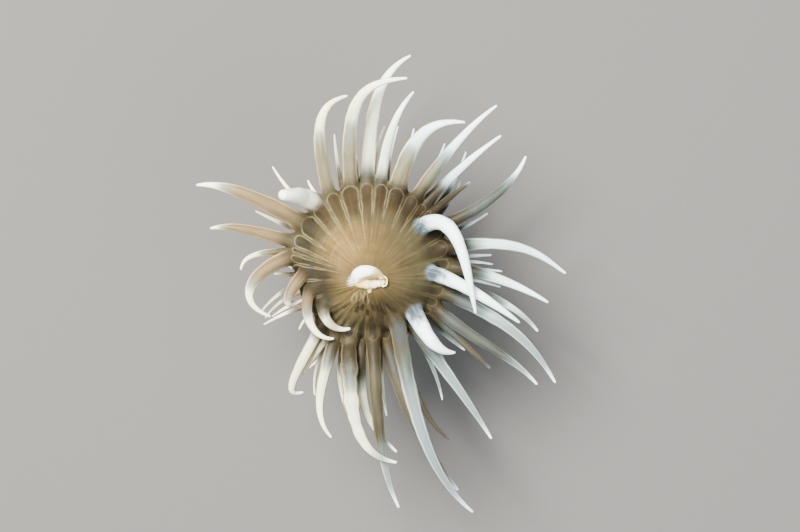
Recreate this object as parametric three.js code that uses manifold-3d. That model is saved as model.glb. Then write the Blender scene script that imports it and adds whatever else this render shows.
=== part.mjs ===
// A small sea anemone, fully open: a flared foot, a soft column, a domed oral disc
// with a lipped mouth, and a crown of long pointed tentacles in several cycles.
// Millimetres, +Z up. The origin is the middle of the foot's flat underside.
// Azimuths are in degrees, anticlockwise from +X as seen from above.

import * as THREE from "three";
import { mergeVertices } from "three/addons/utils/BufferGeometryUtils.js";
import Module from "manifold-3d";

const wasm = await Module();
wasm.setup();

// Driving sizes of the body. It is narrowest at the waist and flares both ways.
const FOOT_RADIUS = 10.6;
const FOOT_EDGE = 0.5;
const FOOT_TOP = 2.6;
const FOOT_FLARE_POWER = 4;
const WAIST_RADIUS = 6.9;
const WAIST_HEIGHT = 10.5;
const SHOULDER_HEIGHT = 17.0;
const COLLAR_RADIUS = 9.8;
const COLLAR_TOP = 19.2;
const COLLAR_FLARE_POWER = 3;
const MARGIN_RADIUS = 10.0;
const MARGIN_HEIGHT = 20.6;
const GAP = 0.3;

// The oral disc is a dome whose top, the mouth, is drawn towards the front (-Y).
const DISC_HEIGHT = 4.8;
const DISC_RIM = 1.1;
const DISC_UNDERCUT = 0.4;
const DISC_SHARES = [1, 0.9, 0.75, 0.6, 0.42, 0.22];
const MOUTH_OFFSET = new THREE.Vector2(0, -2.2);
const SLOPE_BEHIND = 1.25;
const SLOPE_IN_FRONT = 2.5;

// The lips are a low oval round a slit that runs from side to side. Each ring of the
// lips gives its share of the width, its share of the depth, and how far it lies
// under their top.
const LIP_WIDTH = 5.0;
const LIP_DEPTH = 3.8;
const LIP_HEIGHT = 1.0;
const LIP_RINGS = [[1, 1, 2.6], [1, 1, 0.7], [0.86, 0.84, 0.15], [0.6, 0.55, 0]];
const SLIT_WIDTH = 3.4;
const SLIT_OPENING = 0.55;
const SLIT_DEPTH = 0.8;
const SLIT_NARROWING = 0.8;

// How finely the solids are faceted.
const ROUND = 26;
const BODY_STEPS = 2;
const LIP_SIDES = 12;
const LARGE_SIDES = 6;
const LARGE_STEPS = 8;
const SMALL_SIDES = 5;
const SMALL_STEPS = 4;

// A tentacle tapers to a blunt tip, and a long one is made in two lengths.
const TIP_RADIUS = 0.27;
const TIP_ROUNDING = 0.7;
const TAPER = 1.7;
const LONGEST_PIECE = 17.5;
const SPLIT_AT = 0.48;
const SPLIT_STEPS = 5;

// How deep the roots sit in the disc, and how far in and down in the collar.
const ROOT_SINK = 0.72;
const SMALL_ROOT_INSET = 1.2;
const SMALL_ROOT_SINK = 0.7;

// Each cycle of tentacles: how far out it is rooted, how steeply it leaves the body,
// and how its tips point, in degrees above the level.
const CYCLES = {
  inner: { ring: 7.8, rise: 48, tipRise: -25 },
  second: { ring: 9.2, rise: 34, tipRise: -12 },
  third: { ring: 9.8, rise: 14, tipRise: -10 },
  outer: { ring: 10.0, rise: -12, tipRise: -18 },
  raised: { ring: 9.2, rise: 25, tipRise: 78 },
  fringe: { ring: 9.6, rise: -35, tipRise: -65 },
};

// The large tentacles, clockwise from the back left. Per row: cycle, azimuth of the
// root, azimuth of the tip, reach of the tip from the axis, height of the tip above
// the margin, thickness near the root, lean of the root from the radial line, turn
// from root to tip, how late along the length it turns, and how widely it bows out.
const LARGE = [
  ["second", 123, 98, 21.7, 3.0, 1.75, -18, -90, 0.8, 1.2],
  ["second", 105, 78.7, 24.1, 6.0, 1.9, -10, -90, 0.6, 1.35],
  ["third", 92, 79, 27.2, 2.5, 1.9, -3, -60, 0.6, 1.05],
  ["third", 82, 75.7, 22.7, 2.0, 1.4, 2, -36, 0.4, 1.0],
  ["second", 69, 56, 21.8, 3.5, 2.3, 8, -82, 0.3, 1.25],
  ["second", 54, 51, 26.0, 2.5, 1.8, 4, -22, 0.1, 1.0],
  ["third", 46, 44, 23.6, 0.5, 1.55, 4, -14, 0.0, 1.0],
  ["third", 39, 38.5, 16.6, -1.0, 1.05, -3, -4, 0.0, 1.0],
  ["third", 27, 34, 24.4, 1.0, 1.65, -4, 44, 0.4, 1.0],
  ["inner", 35.5, -25.5, 15.1, 5.5, 2.1, 3, -115, 0.34, 1.32],
  ["second", 11, -3.2, 25.4, 1.0, 1.6, -1, -46, 0.8, 1.2],
  ["inner", -9.8, -22, 20.8, 3.0, 2.0, 2, -30, 0.0, 1.0],
  ["third", -3, -12.7, 23.7, 0.0, 1.75, -6, -22, 0.2, 1.0],
  ["third", -13, -22.3, 23.6, -1.5, 1.3, -5, -34, 0.5, 1.0],
  ["third", -22, -33, 28.7, 0.5, 1.8, -2, -36, 0.3, 1.15],
  ["third", -34, -36.2, 26.9, -0.5, 1.65, -10, -5, 0.2, 1.1],
  ["outer", -40, -41.5, 20.8, -1.5, 1.1, -1, -2, 0.0, 1.0],
  ["inner", -47, -47, 16.0, 4.0, 2.3, -17, 64, 0.7, 1.3],
  ["second", -56, -55.5, 27.8, 0.5, 1.8, 1, -4, 0.0, 1.0],
  ["inner", -64, -67.7, 35.0, 2.0, 2.15, -17, 41, 0.25, 1.15],
  ["third", -78, -69, 31.9, -2.0, 1.9, 0, 28, 0.2, 1.0],
  ["outer", -69, -66, 25.5, -3.5, 1.1, -5, 38, 0.3, 1.0],
  ["second", -88, -83.4, 32.2, -1.5, 1.85, 2, 22, 0.3, 1.0],
  ["second", -107, -82.6, 26.2, 2.0, 2.2, 16, 82, 0.65, 1.15],
  ["third", -97, -82.8, 24.9, -0.5, 1.15, 3, 50, 0.5, 1.3],
  ["second", -116, -102.6, 23.3, 1.0, 1.7, 10, 58, 0.3, 1.05],
  ["third", -128, -117.5, 19.2, -1.0, 1.5, 10, 130, 0.7, 1.0],
  ["outer", -119, -120.7, 17.1, -1.0, 1.3, -8, 14, 0.0, 1.0],
  ["inner", -140, -107, 9.0, 4.2, 1.5, 40, 115, 0.4, 1.2],
  ["inner", -158, -115.8, 11.0, 4.0, 1.6, 28, 132, 0.1, 1.05],
  ["inner", -174, -150.8, 10.1, 1.8, 1.7, 34, 170, 0.1, 1.7],
  ["second", 175, 208.4, 14.8, 1.5, 2.0, 12, 152, 0.0, 1.3],
  ["outer", 172, 183.1, 16.9, -1.5, 0.9, 8, 80, 0.6, 1.0],
  ["third", 165, 168, 21.1, 1.0, 1.75, 1, 26, 0.4, 1.0],
  ["second", 150, 156, 24.5, 2.5, 2.3, 0, 36, 0.5, 1.0],
  ["raised", 130, 142, 13.9, 9.0, 2.5, 22, 25, 0.2, 1.2],
];

// The small tentacles between them grow from the collar. Per row: azimuth of the
// root, azimuth of the tip, reach, height of the tip above the margin, thickness
// and turn from root to tip.
const SMALL = [
  [112, 105.7, 17.3, -1.5, 0.75, -10],
  [101, 97, 17.5, -1.5, 0.75, 0],
  [87, 84, 17.8, -2.0, 0.7, -30],
  [76, 78.4, 18.1, -2.0, 0.7, -20],
  [65, 71.8, 18.3, -1.5, 0.8, 0],
  [50, 57.8, 18.3, -2.0, 0.8, 10],
  [37, 49, 19.1, -3.5, 0.95, 30],
  [31, 41.7, 15.8, -3.0, 0.75, 20],
  [20, 22.5, 16.6, -2.0, 0.8, 16],
  [4, 3.3, 15.8, -1.5, 0.85, 0],
  [-1, -1, 16.0, -3.0, 0.7, -20],
  [-6, -4, 17.3, -4.0, 0.6, -10],
  [-9, -10.8, 17.3, -2.5, 0.7, -8],
  [-45, -43, 16.9, -3.0, 0.9, 8],
  [-52, -54, 17.3, -3.5, 0.7, -20],
  [-60, -62.3, 20.3, -2.5, 0.75, -30],
  [-82, -84, 20.3, -4.5, 0.8, 10],
  [-108, -97.7, 20.5, -3.0, 0.85, 50],
  [-113, -112.7, 18.9, -3.5, 0.65, 60],
  [-119, -121, 16.5, -4.5, 0.65, -50],
  [-134, -136.7, 12.8, -3.5, 0.65, 60],
  [-142, -149.5, 16.1, -2.5, 0.75, 20],
  [-149, -151, 14.7, -4.0, 0.7, 20],
  [-156, -152.2, 15.6, -5.0, 0.7, 40],
  [-163, -155.8, 15.5, -3.0, 0.75, 40],
  [-169, -173, 12.6, -1.5, 0.7, 0],
  [156, 156, 16.4, -2.0, 0.8, -6],
  [139, 135.7, 17.8, -2.0, 0.8, -24],
  [129, 127.5, 13.4, -1.5, 0.85, -16],
];

// The outermost fringe hangs under the crown at even steps round the collar. Its
// tips sway to one side and the other.
const FRINGE = { count: 14, first: 8, reach: 10.9, drop: 7.0, thick: 1.0, sway: 6, swayStep: 2.4 };

const FULL_TURN = 360;
const QUARTER_TURN = 90;

const radians = THREE.MathUtils.degToRad;
const degrees = THREE.MathUtils.radToDeg;

// Turns a geometry into a solid that can be joined and cut, and a solid back again.
function solidOf(geometry) {
  const bare = geometry.clone();
  bare.deleteAttribute("normal");
  bare.deleteAttribute("uv");
  const merged = mergeVertices(bare, 1e-5);
  const mesh = new wasm.Mesh({
    numProp: 3,
    vertProperties: Float32Array.from(merged.attributes.position.array),
    triVerts: Uint32Array.from(merged.index.array),
  });
  return new wasm.Manifold(mesh);
}

function geometryOf(solid) {
  const { vertProperties, triVerts } = solid.getMesh();
  const geometry = new THREE.BufferGeometry();
  geometry.setAttribute("position", new THREE.BufferAttribute(Float32Array.from(vertProperties), 3));
  geometry.setIndex(new THREE.BufferAttribute(Uint32Array.from(triVerts), 1));
  geometry.computeVertexNormals();
  return geometry;
}

function largestPiece(solid) {
  const pieces = solid.decompose();
  return pieces.reduce((best, piece) => (piece.volume() > best.volume() ? piece : best));
}

// Skins a stack of rings, each a list of points, and closes it with a fan at each end.
function loft(rings, startPoint, endPoint) {
  const sides = rings[0].length;
  const points = [startPoint, ...rings.flat(), endPoint];
  const last = points.length - 1;
  const faces = [];
  for (let j = 0; j < sides; j += 1) {
    const k = (j + 1) % sides;
    faces.push(0, 1 + k, 1 + j);
    for (let i = 0; i < rings.length - 1; i += 1) {
      const low = 1 + i * sides;
      const high = low + sides;
      faces.push(low + j, low + k, high + k);
      faces.push(low + j, high + k, high + j);
    }
    faces.push(last, last - sides + j, last - sides + k);
  }
  const geometry = new THREE.BufferGeometry().setFromPoints(points);
  geometry.setIndex(faces);
  return solidOf(geometry);
}

function onPlan(azimuth, radius, height) {
  const a = radians(azimuth);
  return new THREE.Vector3(radius * Math.cos(a), radius * Math.sin(a), height);
}

function heading(azimuth, rise) {
  return onPlan(azimuth, Math.cos(radians(rise)), Math.sin(radians(rise)));
}

// ---- The body: foot, column and collar are slices of one turned outline.

function bodyRadius(height) {
  const down = Math.max(0, (WAIST_HEIGHT - height) / (WAIST_HEIGHT - FOOT_EDGE));
  const up = Math.max(0, (height - WAIST_HEIGHT) / (COLLAR_TOP - WAIST_HEIGHT));
  const footFlare = (FOOT_RADIUS - WAIST_RADIUS) * down ** FOOT_FLARE_POWER;
  const collarFlare = (COLLAR_RADIUS - WAIST_RADIUS) * up ** COLLAR_FLARE_POWER;
  return WAIST_RADIUS + footFlare + collarFlare;
}

function bodyOutline(bottom, top) {
  return Array.from({ length: BODY_STEPS + 1 }, (_, i) => {
    const height = THREE.MathUtils.lerp(bottom, top, i / BODY_STEPS);
    return new THREE.Vector2(bodyRadius(height), height);
  });
}

// Turns an outline, bottom first, about the axis and stands it up along +Z.
function turned(outline) {
  const bottom = new THREE.Vector2(0, outline[0].y);
  const top = new THREE.Vector2(0, outline[outline.length - 1].y);
  const lathe = new THREE.LatheGeometry([bottom, ...outline, top], ROUND);
  return solidOf(lathe.rotateX(Math.PI / 2));
}

function footSolid() {
  const sole = new THREE.Vector2(FOOT_RADIUS - FOOT_EDGE, 0);
  return turned([sole, ...bodyOutline(FOOT_EDGE, FOOT_TOP)]);
}

// ---- The oral disc and the lips round the mouth on top of it.

// A point of the disc at a share of the way from the mouth to the edge.
function discPoint(share, azimuth, grow = 0) {
  const a = radians(azimuth);
  const edge = MARGIN_RADIUS + grow;
  const front = 0.5 - 0.5 * Math.sin(a);
  const slope = THREE.MathUtils.lerp(SLOPE_BEHIND, SLOPE_IN_FRONT, front);
  const x = MOUTH_OFFSET.x * (1 - share) + edge * Math.cos(a) * share;
  const y = MOUTH_OFFSET.y * (1 - share) + edge * Math.sin(a) * share;
  const z = MARGIN_HEIGHT + DISC_RIM + DISC_HEIGHT * (1 - share ** slope) + grow;
  return new THREE.Vector3(x, y, z);
}

// Height of the disc over a point of the plan: the share is found by halving.
function discHeight(x, y) {
  const halvings = 24;
  let inner = 0;
  let outer = 1;
  for (let i = 0; i < halvings; i += 1) {
    const share = (inner + outer) / 2;
    const centre = MOUTH_OFFSET.clone().multiplyScalar(1 - share);
    if (Math.hypot(x - centre.x, y - centre.y) < MARGIN_RADIUS * share) {
      outer = share;
    } else {
      inner = share;
    }
  }
  const centre = MOUTH_OFFSET.clone().multiplyScalar(1 - outer);
  return discPoint(outer, degrees(Math.atan2(y - centre.y, x - centre.x))).z;
}

function discSolid(grow) {
  const azimuths = Array.from({ length: ROUND }, (_, j) => (FULL_TURN * j) / ROUND);
  const floor = COLLAR_TOP + GAP - grow;
  const under = azimuths.map((azimuth) => onPlan(azimuth, MARGIN_RADIUS - DISC_UNDERCUT + grow, floor));
  const rings = DISC_SHARES.map((share) => azimuths.map((azimuth) => discPoint(share, azimuth, grow)));
  return loft([under, ...rings], new THREE.Vector3(0, 0, floor), discPoint(0, 0, grow));
}

// An oval solid over the mouth, from rings of width, depth and height.
function ovalSolid(rings) {
  const mouth = discPoint(0, 0);
  const ovals = rings.map(([width, depth, height]) => Array.from({ length: LIP_SIDES }, (_, j) => {
    const a = (2 * Math.PI * j) / LIP_SIDES;
    const across = (width / 2) * Math.cos(a);
    const along = (depth / 2) * Math.sin(a);
    return new THREE.Vector3(mouth.x + across, mouth.y + along, height);
  }));
  const bottom = new THREE.Vector3(mouth.x, mouth.y, rings[0][2]);
  const top = new THREE.Vector3(mouth.x, mouth.y, rings[rings.length - 1][2]);
  return loft(ovals, bottom, top);
}

function lipSolid() {
  const top = discPoint(0, 0).z + LIP_HEIGHT;
  const block = ovalSolid(LIP_RINGS.map(([width, depth, below]) => (
    [LIP_WIDTH * width, LIP_DEPTH * depth, top - below]
  )));
  const slit = ovalSolid([
    [SLIT_WIDTH * SLIT_NARROWING, SLIT_OPENING * SLIT_NARROWING, top - SLIT_DEPTH],
    [SLIT_WIDTH, SLIT_OPENING, top + SLIT_DEPTH],
  ]);
  return block.subtract(slit);
}

// ---- The tentacles.

// The centre line of a tentacle is a cubic curve whose two handles follow a circle's
// rule for the angle it turns through. A late turn lengthens the root's handle.
function centreLine({ root, tip, leave, turn, late, bow, rise, tipRise }) {
  const handle = (bow * root.distanceTo(tip)) / (3 * Math.cos(radians(turn / 4)) ** 2);
  const out = heading(leave, rise).multiplyScalar(handle * (1 + late));
  const back = heading(leave + turn, tipRise).multiplyScalar(handle * (1 - late / 2));
  return new THREE.CubicBezierCurve3(root, root.clone().add(out), tip.clone().sub(back), tip);
}

function largeTentacle(row) {
  const [cycle, azimuth, tipAzimuth, reach, lift, thick, lean, turn, late, bow] = row;
  const { ring, rise, tipRise } = CYCLES[cycle];
  const root = onPlan(azimuth, ring, 0);
  root.z = discHeight(root.x, root.y) - ROOT_SINK;
  const tip = onPlan(tipAzimuth, reach, MARGIN_HEIGHT + lift);
  const leave = azimuth + lean;
  const line = centreLine({ root, tip, leave, turn, late, bow, rise, tipRise });
  return { line, thick };
}

function smallTentacle([azimuth, tipAzimuth, reach, lift, thick, turn], cycle) {
  const { ring, rise, tipRise } = CYCLES[cycle];
  const root = onPlan(azimuth, ring - SMALL_ROOT_INSET, COLLAR_TOP - SMALL_ROOT_SINK);
  const tip = onPlan(tipAzimuth, reach, MARGIN_HEIGHT + lift);
  const straight = degrees(Math.atan2(tip.y - root.y, tip.x - root.x));
  const leave = straight - turn / 2;
  const line = centreLine({ root, tip, leave, turn, late: 0, bow: 1, rise, tipRise });
  return { line, thick, azimuth };
}

function fringeTentacle(index) {
  const azimuth = FRINGE.first + (FULL_TURN * index) / FRINGE.count;
  const tipAzimuth = azimuth + FRINGE.sway * Math.sin(index * FRINGE.swayStep);
  return smallTentacle([azimuth, tipAzimuth, FRINGE.reach, -FRINGE.drop, FRINGE.thick, 0], "fringe");
}

// Radius along a tentacle: full at the root, tapering ever faster towards the tip.
function radiusAt(thick, t) {
  return TIP_RADIUS + (thick / 2 - TIP_RADIUS) * (1 - t ** TAPER);
}

// A round tube along part of a tentacle's centre line, blunt where the tentacle ends.
function tube({ line, thick }, from, to, sides, steps, grow = 0) {
  const up = new THREE.Vector3(0, 0, 1);
  const rings = Array.from({ length: steps + 1 }, (_, i) => {
    const t = THREE.MathUtils.lerp(from, to, i / steps);
    const centre = line.getPoint(t);
    const along = line.getTangent(t);
    const side = up.clone().cross(along).normalize();
    const over = along.clone().cross(side);
    const radius = radiusAt(thick, t) + grow;
    return Array.from({ length: sides }, (_, j) => {
      const a = (2 * Math.PI * j) / sides;
      const out = side.clone().multiplyScalar(radius * Math.cos(a));
      return out.addScaledVector(over, radius * Math.sin(a)).add(centre);
    });
  });
  const endLength = to === 1 ? TIP_RADIUS * TIP_ROUNDING + grow : 0;
  const first = line.getPoint(from).addScaledVector(line.getTangent(from), -grow);
  const last = line.getPoint(to).addScaledVector(line.getTangent(to), endLength);
  return loft(rings, first, last);
}

// The lengths that a large tentacle is made in, by name.
function tentaclePieces(tentacle, name) {
  const length = tentacle.line.getLength();
  if (length <= LONGEST_PIECE) {
    return { [name]: tube(tentacle, 0, 1, LARGE_SIDES, LARGE_STEPS) };
  }
  return {
    [`${name}_root`]: tube(tentacle, 0, SPLIT_AT, LARGE_SIDES, SPLIT_STEPS),
    [`${name}_tip`]: tube(tentacle, SPLIT_AT + GAP / length, 1, LARGE_SIDES, SPLIT_STEPS),
  };
}

// A quarter of the collar with the small tentacles that are rooted in it.
function collarQuarter(tentacles, middle, grow) {
  const corner = GAP / 2 - grow;
  const side = 2 * COLLAR_TOP;
  const block = new THREE.BoxGeometry(side, side, side);
  block.translate(side / 2 + corner, side / 2 + corner, side / 2);
  block.rotateZ(radians(middle - QUARTER_TURN / 2));
  const collar = turned(bodyOutline(SHOULDER_HEIGHT + GAP, COLLAR_TOP));
  const own = tentacles.filter(({ azimuth }) => {
    const away = THREE.MathUtils.euclideanModulo(azimuth - middle + FULL_TURN / 2, FULL_TURN);
    const fromMiddle = away - FULL_TURN / 2;
    return fromMiddle >= -QUARTER_TURN / 2 && fromMiddle < QUARTER_TURN / 2;
  });
  const tubes = own.map((tentacle) => tube(tentacle, 0, 1, SMALL_SIDES, SMALL_STEPS, grow));
  return tubes.reduce((joined, piece) => joined.add(piece), collar.intersect(solidOf(block)));
}

// ---- Putting it together. Each piece is cut clear of those before it by the gap.

const flesh = (color, roughness) => new THREE.MeshStandardMaterial({ color, roughness, metalness: 0 });
const columnSkin = flesh(0xb39c7d, 0.55);
const discSkin = flesh(0xb0936c, 0.45);
const lipSkin = flesh(0xf1e9d8, 0.4);
const tentacleSkin = flesh(0xe4e2da, 0.4);

const body = new THREE.Group();
const crown = new THREE.Group();

function place(group, name, solid, material) {
  const mesh = new THREE.Mesh(geometryOf(largestPiece(solid)), material);
  mesh.name = name;
  group.add(mesh);
}

const wideDisc = discSolid(GAP);
place(body, "foot", footSolid(), columnSkin);
place(body, "column_lower", turned(bodyOutline(FOOT_TOP + GAP, WAIST_HEIGHT)), columnSkin);
place(body, "column_upper", turned(bodyOutline(WAIST_HEIGHT + GAP, SHOULDER_HEIGHT)), columnSkin);
place(body, "oral_disc", discSolid(0), discSkin);
place(body, "lips", lipSolid().subtract(wideDisc), lipSkin);

let taken = wideDisc;
LARGE.forEach((row, index) => {
  const tentacle = largeTentacle(row);
  const number = String(index + 1).padStart(2, "0");
  const pieces = tentaclePieces(tentacle, `tentacle_${number}`);
  Object.entries(pieces).forEach(([name, solid]) => {
    place(crown, name, solid.subtract(taken), tentacleSkin);
  });
  taken = taken.add(tube(tentacle, 0, 1, LARGE_SIDES, LARGE_STEPS, GAP));
});

const small = SMALL.map((row) => smallTentacle(row, "outer"));
const fringe = Array.from({ length: FRINGE.count }, (_, index) => fringeTentacle(index));
["right", "back", "left", "front"].forEach((side, index) => {
  const middle = index * QUARTER_TURN;
  const quarter = collarQuarter([...small, ...fringe], middle, 0);
  place(crown, `margin_${side}`, quarter.subtract(taken), tentacleSkin);
  taken = taken.add(collarQuarter([...small, ...fringe], middle, GAP));
});

const anemone = new THREE.Group();
anemone.add(body, crown);

export default anemone;
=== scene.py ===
"""A small white sea anemone, fully open, dressed over its solid model.

The whole animal is one skin. It is laid up in a block of fine cells that hold the distance to
the skin in millimetres: the body first, then the lips, then each tentacle. The skin is then
drawn through the block and coloured by where each point of it lies on the animal.
"""

import math

import bpy
import numpy as np
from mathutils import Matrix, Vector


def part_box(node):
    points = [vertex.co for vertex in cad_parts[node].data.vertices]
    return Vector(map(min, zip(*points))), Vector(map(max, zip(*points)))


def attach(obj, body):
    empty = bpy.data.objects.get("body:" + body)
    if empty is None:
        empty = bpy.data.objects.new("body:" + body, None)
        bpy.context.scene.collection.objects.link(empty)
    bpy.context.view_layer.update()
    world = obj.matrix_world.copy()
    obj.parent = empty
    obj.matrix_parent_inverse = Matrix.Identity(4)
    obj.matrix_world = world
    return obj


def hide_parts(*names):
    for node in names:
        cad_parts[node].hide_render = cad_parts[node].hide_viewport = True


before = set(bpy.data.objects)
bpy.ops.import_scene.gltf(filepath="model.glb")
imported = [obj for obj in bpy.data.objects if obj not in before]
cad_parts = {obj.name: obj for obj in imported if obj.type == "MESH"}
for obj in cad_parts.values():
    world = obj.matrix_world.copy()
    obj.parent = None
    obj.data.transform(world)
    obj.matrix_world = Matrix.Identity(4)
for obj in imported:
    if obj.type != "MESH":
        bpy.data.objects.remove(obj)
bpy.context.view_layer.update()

import openvdb
from mathutils import Vector

# ------------------------------------------------------------------ the foot and the column
# The foot is a flat sucker that grips the rock, and the column is a soft wall of muscle round
# a stomach full of water. Both are one turned shape, narrow at the waist, flaring to the foot
# and to the collar, with shallow furrows that run up it.

MM = 0.001

foot_low, foot_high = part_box("foot")
FOOT_RADIUS = max(foot_high.x - foot_low.x, foot_high.y - foot_low.y) / 2 / MM
FOOT_EDGE = 0.5
FOOT_FLARE_POWER = 4
WAIST_RADIUS = 6.9
WAIST_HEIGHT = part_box("column_lower")[1].z / MM
COLLAR_RADIUS = 9.8
COLLAR_TOP = 19.2
COLLAR_FLARE_POWER = 3
MARGIN_RADIUS = 10.0
MARGIN_STEP = 1.0
FURROWS = 24
FURROW_DEPTH = 0.07
FURROW_SWAY = 0.5
FURROW_SWAY_PER_MM = 0.7
FOOT_LOBES = 11
FOOT_LOBE_DEPTH = 0.12
FOOT_LOBE_SWAY = 2.0
FOOT_LOBE_SWAYS = 3
SHOULDER_ROUNDING = 1.3
FOOT_ROUNDING = 0.5


def eased(value, low, high):
    """Nought below low, one above high, and a smooth rise between them."""
    share = np.clip((value - low) / (high - low), 0.0, 1.0)
    return share * share * (3.0 - 2.0 * share)


def banded(value, low, full, falling, gone):
    """One inside a band of values, nought outside it, and smooth between them."""
    return eased(value, low, full) * (1 - eased(value, falling, gone))


def softer_of(first, second, reach):
    """The larger of two distances, with the corner between them rounded over a reach."""
    overlap = np.clip(0.5 - 0.5 * (first - second) / reach, 0.0, 1.0)
    return first + (second - first) * overlap + reach * overlap * (1.0 - overlap)


def welded(first, second, reach):
    """The smaller of two distances, with a fillet of flesh laid in the corner."""
    return -softer_of(-first, -second, reach)


def wall_distance(x, y, z):
    """Distance to the turned wall of the foot, column and collar."""
    round_at = np.arctan2(y, x)
    foot_length = WAIST_HEIGHT - FOOT_EDGE
    collar_length = COLLAR_TOP - WAIST_HEIGHT
    down = np.clip((WAIST_HEIGHT - z) / foot_length, 0.0, 1.0)
    up = np.clip((z - WAIST_HEIGHT) / collar_length, 0.0, 1.0)
    foot_flare = (FOOT_RADIUS - WAIST_RADIUS) * down**FOOT_FLARE_POWER
    collar_flare = (COLLAR_RADIUS - WAIST_RADIUS) * up**COLLAR_FLARE_POWER
    past_collar = eased(z, COLLAR_TOP, COLLAR_TOP + MARGIN_STEP)
    collar_flare = collar_flare + (MARGIN_RADIUS - COLLAR_RADIUS) * past_collar
    furrow_sway = FURROW_SWAY * np.sin(FURROW_SWAY_PER_MM * z)
    furrow = FURROW_DEPTH * np.cos(FURROWS * round_at + furrow_sway) * (1.0 - down**2)
    lobe_sway = FOOT_LOBE_SWAY * np.sin(FOOT_LOBE_SWAYS * round_at)
    lobe = FOOT_LOBE_DEPTH * np.sin(FOOT_LOBES * round_at + lobe_sway) * down**2
    radius = WAIST_RADIUS + foot_flare + collar_flare + furrow + lobe
    foot_lean = FOOT_FLARE_POWER * foot_flare / foot_length
    collar_lean = COLLAR_FLARE_POWER * collar_flare / collar_length
    return (np.hypot(x, y) - radius) / np.sqrt(1.0 + (collar_lean - foot_lean) ** 2)


# The flesh is one material. Each section works out the colour of its own piece with the tools
# below, and the section on the skin joins them. Colours are shares of light thrown back.
flesh = bpy.data.materials.new("anemone_flesh")
flesh.use_nodes = True
tree = flesh.node_tree
shader = tree.nodes["Principled BSDF"]


def feed(socket, value):
    """Sets a socket, or joins it to another node."""
    if isinstance(value, bpy.types.NodeSocket):
        tree.links.new(value, socket)
    elif isinstance(value, tuple):
        socket.default_value = (*value, 1.0)
    else:
        socket.default_value = value


def reckon(operation, *values):
    """One step of arithmetic."""
    node = tree.nodes.new("ShaderNodeMath")
    node.operation = operation
    for socket, value in zip(node.inputs, values):
        feed(socket, value)
    return node.outputs[0]


def product(first, *others):
    """All the values multiplied together."""
    for other in others:
        first = reckon("MULTIPLY", first, other)
    return first


def total(first, *others):
    """All the values added together."""
    for other in others:
        first = reckon("ADD", first, other)
    return first


def less(value, taken):
    """A value with another taken away."""
    return reckon("SUBTRACT", value, taken)


def rest_of(share):
    """What a share leaves of one."""
    return less(1.0, share)


def more_of(first, second):
    """The larger of two values."""
    return reckon("MAXIMUM", first, second)


def length_of(across, along):
    """The length of a slanting line, from how far it goes across and along."""
    return reckon("SQRT", total(product(across, across), product(along, along)))


def faded(value, low, high):
    """Nought at low, one at high, and smooth between them. High may be the lower number."""
    node = tree.nodes.new("ShaderNodeMapRange")
    node.interpolation_type = "SMOOTHSTEP"
    feed(node.inputs["Value"], value)
    feed(node.inputs["From Min"], low)
    feed(node.inputs["From Max"], high)
    return node.outputs["Result"]


def in_band(value, low, full, falling, gone):
    """The same band, for a value of the material."""
    return product(faded(value, low, full), faded(value, gone, falling))


def layered(share, under, over):
    """One colour laid over another, as thick as the share says."""
    node = tree.nodes.new("ShaderNodeMix")
    node.data_type = "RGBA"
    colours = [socket for socket in node.inputs if socket.type == "RGBA"]
    feed(node.inputs[0], share)
    feed(colours[0], under)
    feed(colours[1], over)
    return next(socket for socket in node.outputs if socket.type == "RGBA")


def coated(under, *coats):
    """A colour under several coats: how thick each is at most, where it lies, and its colour."""
    for thickness, share, over in coats:
        under = layered(product(share, thickness), under, over)
    return under


def soaked(share):
    """A share of dark flesh that has to be thick before it shows through white."""
    return rest_of(reckon("POWER", rest_of(share), 3.0))


def strengthened(colour, amount):
    """A colour made lighter or darker by a factor."""
    node = tree.nodes.new("ShaderNodeVectorMath")
    node.operation = "SCALE"
    feed(node.inputs[0], colour)
    feed(node.inputs["Scale"], amount)
    return node.outputs[0]


def mark(name):
    """A value that is stored for each point of the skin."""
    node = tree.nodes.new("ShaderNodeAttribute")
    node.attribute_name = name
    return node.outputs["Fac"]


def place_at(x, y, z):
    """Three values taken together as a place."""
    node = tree.nodes.new("ShaderNodeCombineXYZ")
    for socket, value in zip(node.inputs, (x, y, z)):
        feed(socket, value)
    return node.outputs[0]


def mottle(place, size=1.0, detail=3.0):
    """Cloudy unevenness about one half, over patches of about one size."""
    node = tree.nodes.new("ShaderNodeTexNoise")
    node.inputs["Scale"].default_value = 1.0 / size
    node.inputs["Detail"].default_value = detail
    feed(node.inputs["Vector"], place)
    return node.outputs[0]


place_parts = tree.nodes.new("ShaderNodeSeparateXYZ")
feed(place_parts.inputs[0], tree.nodes.new("ShaderNodeTexCoord").outputs["Object"])
skin_x, skin_y, skin_z = [product(axis, 1 / MM) for axis in place_parts.outputs]
skin_spot = place_at(skin_x, skin_y, skin_z)


def patches(size, low, high, detail=3.0):
    """Soft patches of about one size, where the mottle rises from low to high."""
    return faded(mottle(skin_spot, size, detail), low, high)


# Buff flesh, browner above, with cream streaks up the furrows and small pale warts. Here and
# below, a pair of numbers says where a change of colour begins and ends, and patches have their
# size first.
COLUMN_BUFF = (0.3, 0.22, 0.14)
COLUMN_BROWN = (0.17, 0.115, 0.06)
COLUMN_CREAM = (0.5, 0.42, 0.3)
FOOT_PALE = (0.4, 0.33, 0.23)
BROWN_HEIGHTS = (5.0, 19.0)
PALE_HEIGHTS = (1.8, 0.3)
BUFF_PATCHES = (3.2, 0.42, 0.7)
STREAK_SIZE = 1.1
STREAK_STRETCH = 0.12
STREAK_EDGE = (0.46, 0.62)
WART_SPACING = 1.5
WART_EDGE = (0.2, 0.11)

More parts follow.
